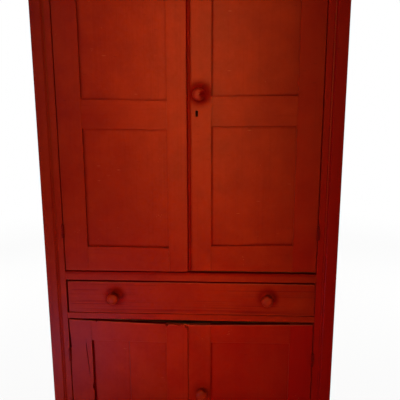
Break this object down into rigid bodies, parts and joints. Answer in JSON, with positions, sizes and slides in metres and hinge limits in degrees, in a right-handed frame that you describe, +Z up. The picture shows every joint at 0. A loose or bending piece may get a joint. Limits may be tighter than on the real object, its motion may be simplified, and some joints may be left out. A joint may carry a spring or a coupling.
{
  "type": "pie safe",
  "caption": "Tall red-painted country cupboard with panelled upper and lower doors, a drawer between them, turned wooden knobs and a moulded cornice.",
  "frame": {"origin": "middle of the whole outline at floor level, between the feet", "axes": "+Z up; the doors and drawer face -Y; +X is to the right as seen from the front"},
  "size_m": [1.174, 0.512, 2.12],
  "materials": {
    "oxblood_paint": "worn satin oxblood paint on wood",
    "bare_pine": "bare aged pine",
    "old_iron": "dull dark iron"
  },
  "bodies": {
    "carcass": {"left_side": "oxblood_paint", "right_side": "oxblood_paint", "left_stile": "oxblood_paint", "right_stile": "oxblood_paint", "frame_top_rail": "oxblood_paint", "frame_waist_rail": "oxblood_paint", "frame_drawer_rail": "oxblood_paint", "frame_bottom_rail": "oxblood_paint", "top_board": "bare_pine", "bottom_board": "bare_pine", "waist_board": "bare_pine", "lower_shelf": "bare_pine", "upper_shelf_low": "bare_pine", "upper_shelf_high": "bare_pine", "back_boards": "bare_pine", "cornice_front": "oxblood_paint", "cornice_left": "oxblood_paint", "cornice_right": "oxblood_paint", "drawer_runners": "bare_pine", "frame_hinge_leaves": "old_iron", "hinge_pins": "old_iron"},
    "upper_left_door": {"upper_left_hinge_stile": "oxblood_paint", "upper_left_meeting_stile": "oxblood_paint", "upper_left_bottom_rail": "oxblood_paint", "upper_left_lock_rail": "oxblood_paint", "upper_left_top_rail": "oxblood_paint", "upper_left_panels": "oxblood_paint", "upper_left_hinge_leaves": "old_iron"},
    "upper_left_button": {"upper_left_turn_button": "bare_pine"},
    "upper_right_door": {"upper_right_hinge_stile": "oxblood_paint", "upper_right_meeting_stile": "oxblood_paint", "upper_right_bottom_rail": "oxblood_paint", "upper_right_lock_rail": "oxblood_paint", "upper_right_top_rail": "oxblood_paint", "upper_right_panels": "oxblood_paint", "upper_right_hinge_leaves": "old_iron", "upper_right_knob": "oxblood_paint", "lock_case": "old_iron"},
    "lock_bolt": {"lock_bolt": "old_iron"},
    "lower_left_door": {"lower_left_hinge_stile": "oxblood_paint", "lower_left_meeting_stile": "oxblood_paint", "lower_left_bottom_rail": "oxblood_paint", "lower_left_top_rail": "oxblood_paint", "lower_left_panel": "oxblood_paint", "lower_left_hinge_leaves": "old_iron"},
    "lower_left_button": {"lower_left_turn_button": "bare_pine"},
    "lower_right_door": {"lower_right_hinge_stile": "oxblood_paint", "lower_right_meeting_stile": "oxblood_paint", "lower_right_bottom_rail": "oxblood_paint", "lower_right_top_rail": "oxblood_paint", "lower_right_panel": "oxblood_paint", "lower_right_hinge_leaves": "old_iron"},
    "lower_right_latch": {"lower_right_turn_knob": "oxblood_paint", "lower_right_latch": "bare_pine"},
    "drawer": {"drawer_front": "oxblood_paint", "drawer_left_side": "bare_pine", "drawer_right_side": "bare_pine", "drawer_back": "bare_pine", "drawer_bottom": "bare_pine", "drawer_knobs": "oxblood_paint"}
  },
  "joints": [
    {"name": "upper_left_door_swing", "type": "hinge", "parent": "carcass", "child": "upper_left_door", "pos_m": [-0.4615, -0.2086, 1.04], "axis": [0, 0, -1], "range_deg": [0, 170]},
    {"name": "upper_right_door_swing", "type": "hinge", "parent": "carcass", "child": "upper_right_door", "pos_m": [0.4615, -0.2086, 1.04], "axis": [0, 0, 1], "range_deg": [0, 170]},
    {"name": "lower_left_door_swing", "type": "hinge", "parent": "carcass", "child": "lower_left_door", "pos_m": [-0.4615, -0.2086, 0.284], "axis": [0, 0, -1], "range_deg": [0, 170]},
    {"name": "lower_right_door_swing", "type": "hinge", "parent": "carcass", "child": "lower_right_door", "pos_m": [0.4615, -0.2086, 0.284], "axis": [0, 0, 1], "range_deg": [0, 170]},
    {"name": "drawer_pull", "type": "slide", "parent": "carcass", "child": "drawer", "axis": [0, -1, 0], "range_m": [0, 0.33]},
    {"name": "lock_bolt_throw", "type": "slide", "parent": "upper_right_door", "child": "lock_bolt", "axis": [-1, 0, 0], "range_m": [0, 0.016]},
    {"name": "upper_left_button_turn", "type": "hinge", "parent": "upper_left_door", "child": "upper_left_button", "pos_m": [-0.062, -0.1815, 2], "axis": [0, 1, 0], "range_deg": [0, 90]},
    {"name": "lower_left_button_turn", "type": "hinge", "parent": "lower_left_door", "child": "lower_left_button", "pos_m": [-0.072, -0.1815, 0.654], "axis": [0, 1, 0], "range_deg": [0, 90]},
    {"name": "lower_right_knob_turn", "type": "hinge", "parent": "lower_right_door", "child": "lower_right_latch", "pos_m": [0.045, -0.204, 0.408], "axis": [0, 1, 0], "range_deg": [0, 90]}
  ]
}
